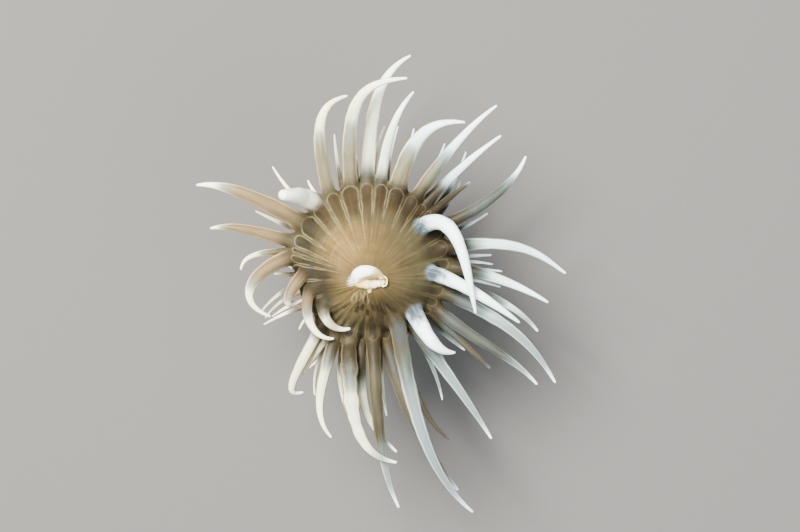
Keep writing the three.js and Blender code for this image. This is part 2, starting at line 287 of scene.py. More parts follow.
streak_place = place_at(skin_x, skin_y, product(skin_z, STREAK_STRETCH))
warts = tree.nodes.new("ShaderNodeTexVoronoi")
warts.inputs["Scale"].default_value = 1 / WART_SPACING
feed(warts.inputs["Vector"], skin_spot)
column_colour = coated(
    COLUMN_BUFF,
    (1.0, faded(skin_z, *BROWN_HEIGHTS), COLUMN_BROWN),
    (1.0, patches(*BUFF_PATCHES), COLUMN_BUFF),
    (0.7, faded(mottle(streak_place, STREAK_SIZE), *STREAK_EDGE), COLUMN_CREAM),
    (0.6, faded(warts.outputs["Distance"], *WART_EDGE), COLUMN_CREAM),
    (0.7, faded(skin_z, *PALE_HEIGHTS), FOOT_PALE),
)

# ------------------------------------------------------------------------ the oral disc
# A thin, half clear dome of flesh that closes the top of the column. Its highest point, the
# mouth, is drawn to the front. A wall inside the body meets it under every pale radial line,
# so the disc is faintly fluted between the lines.

DISC_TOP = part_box("oral_disc")[1].z / MM
DISC_HEIGHT = 4.8
MOUTH = np.array([0.0, -2.2])
SLOPE_BEHIND = 1.25
SLOPE_IN_FRONT = 2.5
FLUTE_DEPTH = 0.06


def disc_share(x, y):
    """Share of the way from the mouth to the disc's edge, and the azimuth about the mouth."""
    to_x, to_y = x - MOUTH[0], y - MOUTH[1]
    spare = MARGIN_RADIUS**2 - MOUTH @ MOUTH
    along = to_x * MOUTH[0] + to_y * MOUTH[1]
    share = (along + np.sqrt(along**2 + spare * (to_x**2 + to_y**2))) / spare
    azimuth = np.arctan2(y - MOUTH[1] * (1.0 - share), x - MOUTH[0] * (1.0 - share))
    return share, azimuth


def disc_height(x, y):
    """Height of the plain dome over a point of the plan."""
    share, azimuth = disc_share(x, y)
    front = 0.5 - 0.5 * np.sin(azimuth)
    slope = SLOPE_BEHIND + (SLOPE_IN_FRONT - SLOPE_BEHIND) * front
    return DISC_TOP - DISC_HEIGHT * share**slope


# Seen through the disc, each chamber ends under its tentacle in a darker, rounded cell with a
# cream edge. The edges run in to the mouth as pale lines, in pairs at first and then as one.
# Fine fibres run in to the mouth and faint rings cross them. A pool of light is painted at the
# back left, and painted shade darkens the front below the mouth, the right side and the corners
# at the back right.
CHAMBERS = 36
DISC_TAN = (0.07, 0.047, 0.0145)
DISC_PAINTED_LIGHT = (0.15, 0.096, 0.026)
DISC_RIM = (0.047, 0.04, 0.018)
DISC_SHADE_OLIVE = (0.034, 0.0285, 0.0122)
DISC_SHADE_BROWN = (0.022, 0.0155, 0.0058)
CELL_BROWN = (0.025, 0.0135, 0.0035)
CELL_OLIVE = (0.015, 0.012, 0.0058)
CORNER_SHADE_BROWN = (0.011, 0.0068, 0.0024)
LINE_CREAM = (0.231, 0.19, 0.096)
RIM_SHARES = (0.4, 0.8)
CELL_SHARES = (0.6, 0.85)
CELL_END = 10.2
PARTING_SHARES = (0.5, 0.85)
CELL_EDGE_GAP = 0.17
CELL_EDGE = (0.0, -0.3)
LINE_EDGE = (0.099, 0.022)
WANDER = 0.35
WANDER_SIZE = 1.4
PAINTED_LIGHT_MIDDLE = (-3.4, 2.1)
PAINTED_LIGHT_REACH = (5.0, 0.4)
SHADED_RIGHT_X = (0.5, 6.0)
FRONT_SHADE_X = (-4.0, 1.5)
FRONT_SHADE_Y = (MOUTH[1] - 0.5, MOUTH[1] - 3.0)
LEFT_DARK_X = (-3.2, -6.0)
LEFT_DARK_Y = (2.0, -1.5)
BROWN_CELL_Y = (4.0, 7.0)
BACK_RIGHT_REACH = (8.5, 12.0)
FIBRE_GRAIN = (26.0, 2.5)
CLOUD_SIZE = 1.9
RING_GRAIN = (3.0, 45.0)
RING_EDGE = (0.5, 0.68)
RING_SHARES = (0.25, 0.4)
LINE_PATCHES = (2.2, 0.36, 0.56)
LINE_SHARES = (0.15, 0.7)
LINE_Y = (-9.0, 1.0)
LINE_X = (9.0, -2.0)
LINE_STRENGTH = 0.44
RIM_LINE_SHARES = (0.7, 0.9)
RIM_LINE_STRENGTH = 0.12
PIT_GRAIN = (30.0, 9.0)
PIT_EDGE = (0.52, 0.62)
GATHERED_SHARES = (0.22, 0.4, 0.6, 0.85)
GATHERED_X = (-4.5, -1.5, 2.0, 4.5)
GATHERED_Y = (-4.4, -5.6)

disc_part = mark("disc_share")
lane_cos, lane_sin = mark("lane_cos"), mark("lane_sin")
lane_width = mark("lane_width")


def disc_grain(round_count, outward_count, detail):
    """Mottling of the disc, so many times as fine round it and outwards."""
    round_x, round_y = product(lane_cos, round_count), product(lane_sin, round_count)
    return mottle(place_at(round_x, round_y, product(disc_part, outward_count)), detail=detail)


lane_count = product(reckon("ARCTAN2", lane_sin, lane_cos), CHAMBERS / math.tau)
off_middle = product(reckon("ABSOLUTE", less(reckon("FRACT", lane_count), 0.5)), lane_width)
off_middle = total(off_middle, product(less(mottle(skin_spot, WANDER_SIZE), 0.5), WANDER))
parting = product(faded(disc_part, *PARTING_SHARES), CELL_EDGE_GAP)
cell_half = less(product(lane_width, 0.5), parting)
past_end = total(less(length_of(skin_x, skin_y), CELL_END), cell_half)
to_edge = less(length_of(off_middle, more_of(past_end, 0.0)), cell_half)
on_line = faded(reckon("ABSOLUTE", to_edge), *LINE_EDGE)
in_cell = product(faded(to_edge, *CELL_EDGE), faded(disc_part, *CELL_SHARES))

# Painted light: a warm pool of light on the disc at the back left, where the key lamp stands.
painted_light_gap = length_of(less(skin_x, PAINTED_LIGHT_MIDDLE[0]), less(skin_y, PAINTED_LIGHT_MIDDLE[1]))
painted_light_pool = faded(painted_light_gap, *PAINTED_LIGHT_REACH)
# Painted shade: brown below the front of the mouth, olive on the right side, and dark brown in the
# corners between the roots at the back right.
front_painted_shade = product(faded(skin_y, *FRONT_SHADE_Y), faded(skin_x, *FRONT_SHADE_X))
left_dark = product(faded(skin_x, *LEFT_DARK_X), faded(skin_y, *LEFT_DARK_Y))
back_right = faded(total(skin_x, skin_y), *BACK_RIGHT_REACH)
cell_colour = layered(faded(skin_y, *BROWN_CELL_Y), CELL_OLIVE, CELL_BROWN)
disc_colour = coated(
    DISC_TAN,
    (1.0, faded(disc_part, *RIM_SHARES), DISC_RIM),
    (0.8, faded(skin_x, *SHADED_RIGHT_X), DISC_SHADE_OLIVE),
    (0.85, front_painted_shade, DISC_SHADE_BROWN),
    (0.9, left_dark, CELL_OLIVE),
    (1.0, product(painted_light_pool, less(0.85, product(left_dark, 0.6))), DISC_PAINTED_LIGHT),
    (0.8, in_cell, cell_colour),
    (0.8, product(back_right, faded(disc_part, *CELL_SHARES)), CORNER_SHADE_BROWN),
)
fibres = disc_grain(*FIBRE_GRAIN, 2.0)
fibre_shade = total(0.05, fibres, product(mottle(skin_spot, CLOUD_SIZE), 0.9))
rings = faded(disc_grain(*RING_GRAIN, 1.0), *RING_EDGE)
rings = product(rings, painted_light_pool, faded(disc_part, *RING_SHARES))
line_strength = product(
    patches(*LINE_PATCHES),
    faded(disc_part, *LINE_SHARES),
    faded(skin_y, *LINE_Y),
    faded(skin_x, *LINE_X),
)
rim_strength = product(faded(disc_part, *RIM_LINE_SHARES), RIM_LINE_STRENGTH)
line_strength = total(product(line_strength, LINE_STRENGTH), rim_strength)
# Painted shade: small dark pits where the disc is gathered in front of the mouth.
gathered = product(in_band(disc_part, *GATHERED_SHARES), in_band(skin_x, *GATHERED_X))
gathered = product(gathered, faded(skin_y, *GATHERED_Y))
painted_wrinkle_shade = faded(disc_grain(*PIT_GRAIN, 1.0), *PIT_EDGE)
disc_colour = coated(
    strengthened(disc_colour, fibre_shade),
    (0.22, rings, LINE_CREAM),
    (1.0, product(on_line, line_strength), LINE_CREAM),
    (0.9, product(painted_wrinkle_shade, gathered), CELL_OLIVE),
)

# ------------------------------------------------------------------------ the tentacles
# Hollow, tapering fingers of flesh in several cycles round the disc, filled with water and
# pointing outwards. The innermost arch up and over. Each row is one tentacle, clockwise from
# the back left, and the last value says how far along it the flesh turns from clear to white.

MARGIN_HEIGHT = 20.6
LARGE_TIP_RADIUS = 0.17
TAPER = 1.7
ROOT_SINK = 0.72
DEEP_ROOT_SHARE = 0.62
ROOT_FLARE = 0.18
SMUDGED_FLARE_LOSS = 0.24
ROOT_FLARE_LENGTH = 3.0
SMALL_ROOT_INSET = 1.2
SMALL_ROOT_SINK = 0.7
LARGE_WELD = 1.3
SMUDGED_BELOW = 0.0
BROWN_FROM = (0.5, 1.0)
BLUNT_TIP_RADIUS = 0.7
RIPPLE_SHARE = 0.05
WAVY_AZIMUTH = -107
WAVY_RIPPLE = 0.16


CYCLES = {
    "first": {"ring": 7.2, "rise": 48, "tip_rise": -25},
    "inner": {"ring": 7.8, "rise": 48, "tip_rise": -25},
    "second": {"ring": 9.2, "rise": 34, "tip_rise": -12},
    "third": {"ring": 9.8, "rise": 14, "tip_rise": -10},
    "outer": {"ring": 10.0, "rise": -12, "tip_rise": -18},
    "raised": {"ring": 9.2, "rise": 25, "tip_rise": 48},
    "fringe": {"ring": 9.6, "rise": -35, "tip_rise": -65},
}

# Cycle, azimuth of root, azimuth of tip, reach of tip, lift of tip over the margin, thickness,
# lean of the root, turn, lateness of the turn, bow, and where the white begins.
LARGE = [
    ("second", 123, 98, 21.7, 3.0, 1.75, -18, -90, 0.8, 1.2, 0.36),
    ("second", 105, 78.7, 24.1, 6.0, 1.9, -10, -90, 0.6, 1.35, 0.28),
    ("third", 92, 79, 27.2, 2.5, 1.9, -3, -60, 0.6, 1.05, 0.04),
    ("third", 82, 75.7, 22.7, 2.0, 1.4, 2, -36, 0.4, 1.0, 0.00),
    ("second", 69, 56, 21.8, 3.5, 2.3, 8, -82, 0.3, 1.25, 0.34),
    ("second", 54, 51, 26.0, 2.5, 1.8, 4, -22, 0.1, 1.0, 0.42),
    ("third", 46, 44, 23.6, 0.5, 1.55, 4, -14, 0.0, 1.0, 0.22),
    ("third", 39, 38.5, 16.6, -1.0, 1.05, -3, -4, 0.0, 1.0, 0.95),
    ("third", 27, 34, 24.4, 1.0, 1.65, -4, 44, 0.4, 1.0, 0.68),
    ("first", 34.5, -25.5, 15.1, 5.5, 2.1, 3, -115, 0.34, 1.32, -0.15),
    ("second", 11, -3.2, 25.4, 1.0, 1.6, -1, -46, 0.8, 1.2, 0.15),
    ("first", -9.8, -22, 20.8, 3.0, 2.0, 2, -30, 0.0, 1.0, -0.15),
    ("third", -3, -12.7, 23.7, 0.0, 1.75, -6, -22, 0.2, 1.0, 0.30),
    ("third", -13, -22.3, 23.6, -1.5, 1.3, -5, -34, 0.5, 1.0, 0.45),
    ("third", -22, -33, 28.7, 0.5, 1.8, -2, -36, 0.3, 1.15, 0.22),
    ("third", -34, -36.2, 26.9, -0.5, 1.65, -10, -5, 0.2, 1.1, 0.70),
    ("outer", -40, -41.5, 20.8, -1.5, 1.1, -1, -2, 0.0, 1.0, 1.00),
    ("inner", -47, -47, 16.0, 4.0, 2.3, -17, 64, 0.7, 1.3, -0.15),
    ("second", -56, -55.5, 27.8, 0.5, 1.8, 1, -4, 0.0, 1.0, 0.36),
    ("inner", -64, -67.7, 35.0, 2.0, 2.15, -17, 41, 0.25, 1.15, 0.30),
    ("third", -78, -69, 31.9, -2.0, 1.9, 0, 28, 0.2, 1.0, 0.90),
    ("outer", -69, -66, 25.5, -3.5, 1.1, -5, 38, 0.3, 1.0, 1.05),
    ("second", -88, -83.4, 32.2, -1.5, 1.85, 2, 22, 0.3, 1.0, 0.62),
    ("second", -107, -82.6, 26.2, 2.0, 2.2, 16, 82, 0.65, 1.15, 0.22),
    ("third", -97, -82.2, 24.9, 0.0, 1.35, 6, 46, 0.5, 1.3, 0.22),
    ("second", -116, -102.6, 23.3, 1.0, 1.7, 10, 58, 0.3, 1.05, 0.27),
    ("third", -128, -117.5, 19.2, -1.0, 1.5, 10, 130, 0.7, 1.0, 0.05),
    ("outer", -119, -120.7, 17.1, -1.0, 1.3, -8, 14, 0.0, 1.0, 0.15),
    ("inner", -140, -107, 9.0, 4.2, 1.5, 40, 115, 0.4, 1.2, 0.30),
    ("inner", -158, -115.8, 11.0, 4.0, 1.6, 28, 132, 0.1, 1.05, 0.42),
    ("inner", -174, -150.8, 10.1, 1.8, 1.7, 34, 170, 0.1, 1.7, 0.50),
    ("second", 175, 208.4, 14.8, 1.5, 2.0, 12, 152, 0.0, 1.3, 0.50),
    ("outer", 172, 183.1, 16.9, -1.5, 0.9, 8, 80, 0.6, 1.0, 0.35),
    ("third", 165, 168, 21.1, 1.0, 1.75, 1, 26, 0.4, 1.0, 0.80),
    ("second", 150, 156, 24.5, 2.5, 2.3, 0, 36, 0.5, 1.0, 0.68),
    ("raised", 130, 142, 13.9, 9.0, 2.5, 22, 25, 0.2, 1.2, 0.21),
]

# The small ones between them: azimuths of root and tip, reach, lift, thickness and turn.
SMALL = [
    (112, 105.7, 17.3, -1.5, 0.75, -10),
    (101, 97, 17.5, -1.5, 0.75, 0),
    (87, 84, 17.8, -2.0, 0.7, -30),
    (76, 78.4, 18.1, -2.0, 0.7, -20),
    (65, 71.8, 18.3, -1.5, 0.8, 0),
    (50, 57.8, 18.3, -2.0, 0.8, 10),
    (37, 49, 19.1, -3.5, 0.95, 30),
    (31, 41.7, 15.8, -3.0, 0.75, 20),
    (20, 22.5, 16.6, -2.0, 0.8, 16),
    (4, 3.3, 15.8, -1.5, 0.85, 0),
    (-1, -1, 16.0, -3.0, 0.7, -20),
    (-6, -4, 17.3, -4.0, 0.6, -10),
    (-9, -10.8, 17.3, -2.5, 0.7, -8),
    (-45, -43, 16.9, -3.0, 0.9, 8),
    (-52, -54, 17.3, -3.5, 0.7, -20),
    (-60, -62.3, 20.3, -2.5, 0.75, -30),
    (-82, -84, 20.3, -4.5, 0.8, 10),
    (-108, -97.7, 20.5, -3.0, 0.85, 50),
    (-113, -112.7, 18.9, -3.5, 0.65, 60),
    (-119, -121, 16.5, -4.5, 0.65, -50),
    (-134, -136.7, 12.8, -3.5, 0.65, 60),
    (-142, -149.5, 16.1, -2.5, 0.75, 20),
    (-149, -151, 14.7, -4.0, 0.7, 20),
    (-156, -152.2, 15.6, -5.0, 0.7, 40),
    (-163, -155.8, 15.5, -3.0, 0.75, 40),
    (-169, -173, 12.6, -1.5, 0.7, 0),
    (156, 156, 16.4, -2.0, 0.8, -6),
    (139, 135.7, 17.8, -2.0, 0.8, -24),
    (129, 127.5, 13.4, -1.5, 0.85, -16),
]

# The outermost fringe hangs under the crown at even steps.
FRINGE = {
    "count": 14, "first": 8, "reach": 10.9, "drop": 7.0, "thick": 1.0, "sway": 6, "sway_step": 2.4
}


def on_plan(azimuth, radius, height):
    around = math.radians(azimuth)
    return np.array([radius * math.cos(around), radius * math.sin(around), height])


def heading(azimuth, rise):
    return on_plan(azimuth, math.cos(math.radians(rise)), math.sin(math.radians(rise)))


def centre_line(cycle, root, tip, leave, turn, late=0.0, bow=1.0):
    """The four poles of a tentacle's centre line, a cubic curve from root to tip."""
    handle = bow * np.linalg.norm(tip - root) / (3 * math.cos(math.radians(turn / 4)) ** 2)
    out = heading(leave, CYCLES[cycle]["rise"]) * handle * (1 + late)
    back = heading(leave + turn, CYCLES[cycle]["tip_rise"]) * handle * (1 - late / 2)
    return np.array([root, root + out, tip - back, tip])


def large_tentacle(
    cycle, azimuth, tip_azimuth, reach, lift, thick, lean, turn, late, bow, white_from
):
    """One tentacle of the disc: its centre line, thickness and how its flesh looks."""
    root = on_plan(azimuth, CYCLES[cycle]["ring"], 0.0)
    root[2] = disc_height(root[0], root[1]) - ROOT_SINK
    tip = on_plan(tip_azimuth, reach, MARGIN_HEIGHT + lift)
    poles = centre_line(cycle, root, tip, azimuth + lean, turn, late, bow)
    poles[0][2] -= max(DEEP_ROOT_SHARE * thick - ROOT_SINK, 0.0)
    smudged = cycle in ("first", "inner") and white_from < SMUDGED_BELOW
    return {
        "poles": poles,
        "thick": thick,
        "tip_radius": BLUNT_TIP_RADIUS if cycle == "raised" else LARGE_TIP_RADIUS,
        "ripple": WAVY_RIPPLE if azimuth == WAVY_AZIMUTH else RIPPLE_SHARE,
        "white_from": white_from,
        "weld": LARGE_WELD,
        "milky": float(smudged or cycle == "raised"),
        "smudge": float(smudged),
        "brown": float(eased(white_from, *BROWN_FROM)),
    }


SMALL_FLESH = {
    "tip_radius": 0.13, "ripple": RIPPLE_SHARE, "white_from": 0.45, "weld": 0.6,
    "milky": 0.0, "smudge": 0.0, "brown": 0.0,
}


def small_tentacle(azimuth, tip_azimuth, reach, lift, thick, turn, cycle="outer"):
    """One small tentacle of the collar."""
    ring = CYCLES[cycle]["ring"] - SMALL_ROOT_INSET
    root = on_plan(azimuth, ring, COLLAR_TOP - SMALL_ROOT_SINK)
    tip = on_plan(tip_azimuth, reach, MARGIN_HEIGHT + lift)
    straight = math.degrees(math.atan2(tip[1] - root[1], tip[0] - root[0]))
    poles = centre_line(cycle, root, tip, straight - turn / 2, turn)
    return {"poles": poles, "thick": thick, **SMALL_FLESH}


def fringe_tentacle(index):
    azimuth = FRINGE["first"] + 360 * index / FRINGE["count"]
    tip_azimuth = azimuth + FRINGE["sway"] * math.sin(index * FRINGE["sway_step"])
    reach, drop, thick = FRINGE["reach"], FRINGE["drop"], FRINGE["thick"]
    return small_tentacle(azimuth, tip_azimuth, reach, -drop, thick, 0, "fringe")


tentacles = [large_tentacle(*row) for row in LARGE]
tentacles += [small_tentacle(*row) for row in SMALL]
tentacles += [fringe_tentacle(index) for index in range(FRINGE["count"])]

# Every large tentacle stands over one chamber of the body. The lanes number the chambers
# round the disc, with a dividing wall at each whole number.
root_azimuths = np.radians(np.sort([row[1] % 360 for row in LARGE]))
next_azimuths = np.append(root_azimuths[1:], root_azimuths[0] + math.tau)
lane_walls = (root_azimuths + next_azimuths) / 2
wall_azimuths = np.append(lane_walls[-1] - math.tau, lane_walls)
lane_angles = np.diff(wall_azimuths)


def once_round(azimuth):
    """The azimuth, counted up from the first wall."""
    return np.mod(azimuth - wall_azimuths[0], math.tau) + wall_azimuths[0]


def lane_of(azimuth):
    """Which chamber of the body a point of the disc lies over, counted round it."""
    return np.interp(once_round(azimuth), wall_azimuths, np.arange(CHAMBERS + 1))


def lane_angle(azimuth):
    """How wide the chambers are there, as an angle about the mouth."""
    return np.interp(once_round(azimuth), root_azimuths, lane_angles, period=math.tau)


# The walls between the chambers hold the disc down, so that it swells between them, and in
# front of the mouth it is gathered into fine creases.
FLUTED_SHARES = (0.3, 0.6, 0.75, 0.95)
PLEATS = 44
PLEAT_DEPTH = 0.15
PLEATED_SHARES = (0.12, 0.3, 0.62, 0.95)
PLEAT_FRONT = (0.35, 0.9)
SLOPE_STEP = 0.05
STEEPEST_SLOPE = 3.0


def pleat(share, azimuth):
    """Height of the fine creases in front of the mouth."""
    sway = 2.4 * np.sin(5 * azimuth + 1.0) + 1.6 * np.sin(13 * azimuth + 6 * share) + 5.0 * share
    depth = PLEAT_DEPTH * (0.6 + 0.4 * np.sin(9 * azimuth + 14 * share))
    front = eased(-np.sin(azimuth + 0.25), *PLEAT_FRONT)
    return depth * np.sin(PLEATS * azimuth + sway) * banded(share, *PLEATED_SHARES) * front


def body_distance(x, y, z):
    """Distance to the skin of the bare body, without lips or tentacles."""
    share, azimuth = disc_share(x, y)
    height = disc_height(x, y)
    slope_x = (disc_height(x + SLOPE_STEP, y) - height) / SLOPE_STEP
    slope_y = (disc_height(x, y + SLOPE_STEP) - height) / SLOPE_STEP
    between_walls = 0.5 - 0.5 * np.cos(math.tau * lane_of(azimuth))
    flute = FLUTE_DEPTH * between_walls * banded(share, *FLUTED_SHARES)
    steepness = np.minimum(slope_x**2 + slope_y**2, STEEPEST_SLOPE**2)
    dome = (z - height - (flute + pleat(share, azimuth))) / np.sqrt(1.0 + steepness)
    turned = softer_of(wall_distance(x, y, z), dome, SHOULDER_ROUNDING)
    return softer_of(turned, -z, FOOT_ROUNDING)


# Half clear and beige at the root, greyer with painted shade on the shaded side of the animal,
# turning to milky white, which is painted warm on the lit left and cool on the shaded right of
# the animal and on one side of each tentacle. The hollow inside shows as a greyer middle, with a
# bright cream seam up each side.
ROOT_BEIGE = (0.138, 0.098, 0.048)
ROOT_PALE = (0.144, 0.127, 0.074)
ROOT_GREY = (0.0395, 0.0507, 0.0457)
ROOT_BROWN = (0.048, 0.041, 0.025)
ROOT_DUN = (0.044, 0.038, 0.021)
MILK_WARM_LIT = (0.97, 0.93, 0.62)
MILK_COOL_SHADED = (0.78, 0.95, 0.96)
MILK_BRIGHT_SHADED = (0.81, 0.97, 0.97)
MILK_CREAM_LIT = (0.93, 0.92, 0.74)
HOLLOW_GREY = (0.165, 0.215, 0.19)
HOLLOW_SLATE = (0.115, 0.155, 0.145)
SEAM_CREAM = (0.7, 0.56, 0.29)
SEAM_BUFF = (0.22, 0.16, 0.07)
SEAM_GREY = (0.15, 0.14, 0.10)
OWN_GRAIN = (1.6, 0.25)
SEED_SPREAD = 60.0
COOL_SHADE_X = (-3.0, 6.0)
GREY_X = (4.0, 9.0)
TOP_REACH = (0.0, 8.0)
DUN_Y = (-5.0, -10.0)
BROWN_X = (1.5, 4.0)
DEEP_ROOT = (0.8, 5.0)
FRONT_RIGHT_REACH = (8.0, 15.0)
FRONT_RIGHT_Y = (-4.0, -9.0)
FRONT_RIGHT_X = (-0.8, 2.5)
CLEAR_TIP = (1.0, 0.8)
CLEAR_WHITENESS = (1.0, 0.4)
CLEAR_LENGTH = (0.8, 0.35)
HOLLOW_UPNESS = (0.5, 0.9)
WHITE_EDGE = (0.1, 1.0)
SEAM_UPNESS = (-0.5, 0.0, 0.48, 0.66)
SEAM_ROOT = (0.8, 3.0)
SEAM_TIP = (0.97, 0.85)
SEAM_BUFF_Y = (0.0, -6.0)

MARKS = (
    "along", "from_root", "upness", "sideness", "whiteness", "seed", "milky", "smudge", "brown"
)
part_way, from_root, upness, sideness, whiteness, seed, milky, smudge, brown = map(mark, MARKS)

own_x = total(product(upness, OWN_GRAIN[0]), product(seed, SEED_SPREAD))
own_spot = place_at(own_x, product(sideness, OWN_GRAIN[0]), product(from_root, OWN_GRAIN[1]))
tentacle_streaks = mottle(own_spot, detail=2.0)
# Painted light and shade: the milk is warm on the lit left and cool on the shaded right of the
# animal and on one side of each tentacle, and roots and seams are greyer on the shaded right.
cool_shaded_side = faded(total(skin_x, sideness), *COOL_SHADE_X)
grey_side = faded(less(skin_x, product(skin_y, 0.15)), *GREY_X)
clear_root = coated(
    ROOT_BEIGE,
    (1.0, faded(total(skin_y, product(skin_x, 0.8)), *TOP_REACH), ROOT_PALE),
    (1.0, faded(skin_y, *DUN_Y), ROOT_DUN),
    (1.0, grey_side, ROOT_GREY),
    (1.0, product(brown, faded(skin_x, *BROWN_X)), ROOT_BROWN),
)
root_light = total(0.55, product(faded(from_root, *DEEP_ROOT), 0.5))
root_light = product(total(0.4, product(tentacle_streaks, 1.2)), root_light)
front_right = product(
    faded(less(skin_x, product(skin_y, 0.9)), *FRONT_RIGHT_REACH),
    faded(skin_y, *FRONT_RIGHT_Y),
    faded(skin_x, *FRONT_RIGHT_X),
)
clearness = more_of(
    product(front_right, faded(part_way, *CLEAR_TIP), 0.75),
    more_of(faded(whiteness, *CLEAR_WHITENESS), product(faded(part_way, *CLEAR_LENGTH), 0.25)),
)
hollow = product(faded(upness, *HOLLOW_UPNESS), clearness, rest_of(milky), 0.85)
plain_milk = layered(cool_shaded_side, MILK_WARM_LIT, MILK_COOL_SHADED)
bright_milk = layered(cool_shaded_side, MILK_CREAM_LIT, MILK_BRIGHT_SHADED)
milk = layered(milky, plain_milk, bright_milk)
milk = layered(soaked(hollow), milk, layered(front_right, HOLLOW_GREY, HOLLOW_SLATE))
uneven_white = total(whiteness, product(less(tentacle_streaks, 0.5), 0.45))
clear_root = strengthened(clear_root, root_light)
tentacle_colour = layered(faded(uneven_white, *WHITE_EDGE), clear_root, milk)

# Dusk lies over the roots at the front and at the back right, where the crown is in shade, and
# the bright seams are laid over it.
ROOT_DUSK = (0.024, 0.019, 0.0105)
ROOT_SLATE = (0.04, 0.047, 0.043)
DUSK_LENGTH = (6.5, 2.5)
DUSK_Y = (-4.0, -8.5)
DUSK_X = (-6.2, -3.6)
DUSK_PATCHES = (1.3, 0.1, 0.4, 1.0)
SLATE_X = (1.0, 4.5)
BACK_DUSK_REACH = (-0.5, 2.5)
BACK_DUSK_LENGTH = (6.0, 1.5)

dusk = product(
    faded(from_root, *DUSK_LENGTH),
    faded(skin_y, *DUSK_Y),
    faded(skin_x, *DUSK_X),
    patches(*DUSK_PATCHES),
    less(0.95, milky),
)
back_dusk = product(
    back_right,
    faded(less(skin_x, product(skin_y, 0.6)), *BACK_DUSK_REACH),
    faded(from_root, *BACK_DUSK_LENGTH),
    rest_of(milky),
    0.85,
)
seam = product(
    in_band(upness, *SEAM_UPNESS),
    faded(from_root, *SEAM_ROOT),
    faded(part_way, *SEAM_TIP),
    total(0.4, product(whiteness, 0.5)),
    rest_of(product(milky, 0.75)),
)
seam_colour = layered(faded(skin_y, *SEAM_BUFF_Y), SEAM_CREAM, SEAM_BUFF)
tentacle_colour = coated(
    tentacle_colour,
    (1.0, soaked(more_of(dusk, 0.0)), layered(faded(skin_x, *SLATE_X), ROOT_DUSK, ROOT_SLATE)),
    (1.0, soaked(back_dusk), ROOT_DUSK),
    (1.0, seam, layered(grey_side, seam_colour, SEAM_GREY)),
)

# The roots of the thick ones over the disc are clouded blue, with a wispy dark smudge on top,
# and a few brown specks lie on all of them.
SMUDGE_DARK = (0.034, 0.046, 0.056)
SMUDGE_BLUE = (0.115, 0.17, 0.19)
SPECK_BROWN = (0.11, 0.085, 0.05)
SMUDGE_FROM_ROOT = 2.1
SMUDGE_STRETCH = (1.25, 0.6)
SMUDGE_EDGE = (1.35, 0.3)
SMUDGE_UPNESS = (-0.1, 0.4)
CLOUDING_SIZE = 0.9
BLUE_LENGTH = (5.4, 1.0)
WISP_GRAIN = (4.0, 0.6)
WISP_EDGE = (0.2, 0.75)
SPECKS = (0.28, 0.76, 0.80, 1.0)

clouding = less(mottle(skin_spot, CLOUDING_SIZE, 1.0), 0.5)
root_cloud = product(faded(total(from_root, product(clouding, 3.0)), *BLUE_LENGTH), 0.6)
smudge_gap = length_of(
    product(sideness, SMUDGE_STRETCH[0]),
    product(less(from_root, SMUDGE_FROM_ROOT), SMUDGE_STRETCH[1]),
)
smudge_gap = total(smudge_gap, product(clouding, 0.9))
wisp_x, wisp_y = product(upness, WISP_GRAIN[0]), product(sideness, WISP_GRAIN[0])
wisps = mottle(place_at(wisp_x, wisp_y, product(from_root, WISP_GRAIN[1])), detail=2.0)
wisps = total(0.2, product(faded(wisps, *WISP_EDGE), 0.6))
smudge_patch = product(faded(smudge_gap, *SMUDGE_EDGE), faded(upness, *SMUDGE_UPNESS))
smudge_patch = product(smudge_patch, smudge, wisps)
tentacle_colour = coated(
    tentacle_colour,
    (1.0, product(soaked(root_cloud), smudge), SMUDGE_BLUE),
    (1.0, soaked(smudge_patch), SMUDGE_DARK),
    (0.7, patches(*SPECKS), SPECK_BROWN),
)

# --------------------------------------------------------------------- the mouth and lips
# Two thick, opaque lips close the top of the throat. The back lip is a fat white crescent.
# The front one is creamy and finely beaded, and turns in a small loop at the right corner.

LIP_TOP = DISC_TOP + 0.35
LIP_STEPS = 40
LIP_DROOP = 0.45
LIP_FULLNESS = 0.8
LIP_LEFT_SWELL = 0.42
LIP_BEADS = 7
BEAD_DEPTH = 0.22
BEADED_SHARES = (0.2, 0.5)
# Each crescent: half its width, how far it bows, where it starts from the middle of the mouth
# (across and back), and its greatest and least radius.
BACK_LIP = (1.8, 1.05, -0.05, -0.05, 0.86, 0.12)
FRONT_LIP = (1.65, -0.3, 0.05, -0.42, 0.5, 0.22)
THROAT = (1.5, 0.12, 0.0, -0.08, 0.42, 0.3)
THROAT_DEPTH = 0.15
THROAT_WELD = 0.2
LIP_WELD = 0.3
CORNER_LOOP = {
    "x": 1.75, "y": -0.3, "radius": 0.5, "tall": 1.3, "thick": 0.12, "drop": 0.1, "weld": 0.1,
    "first_turn": -0.6, "last_turn": 0.75,
}
LIP_TAG = {"x": -0.05, "from": -0.9, "to": -1.6, "thick": 0.3, "thin": 0.1, "lift": 0.08}
SLIT_LEFT = (-1.6, -0.45, 0.42)
SLIT_RIGHT = (1.75, -0.25, 0.4)
SLIT_BOW = 0.5
SLIT_RADIUS = 0.13
SLIT_ROUNDING = 0.1


def on_disc_at(x, y, lift):
    """Points that lie on the bare disc, or a little above it."""
    return np.stack([x, y, disc_height(x, y) + lift], 1)


def lip_line(half_width, bow, shift_x, shift_y, thick, thin):
    """Points along a crescent lip with the radius of the flesh at each."""
    across = np.linspace(-1.0, 1.0, LIP_STEPS)
    x = MOUTH[0] + shift_x + half_width * np.sin(across * np.pi / 2)
    y = MOUTH[1] + shift_y + bow * np.cos(across * np.pi / 2)
    swollen = across + LIP_LEFT_SWELL * (1 - across**2)
    fullness = np.cos(swollen * np.pi / 2) ** LIP_FULLNESS
    return np.stack([x, y, LIP_TOP - LIP_DROOP * across**2], 1), thin + (thick - thin) * fullness


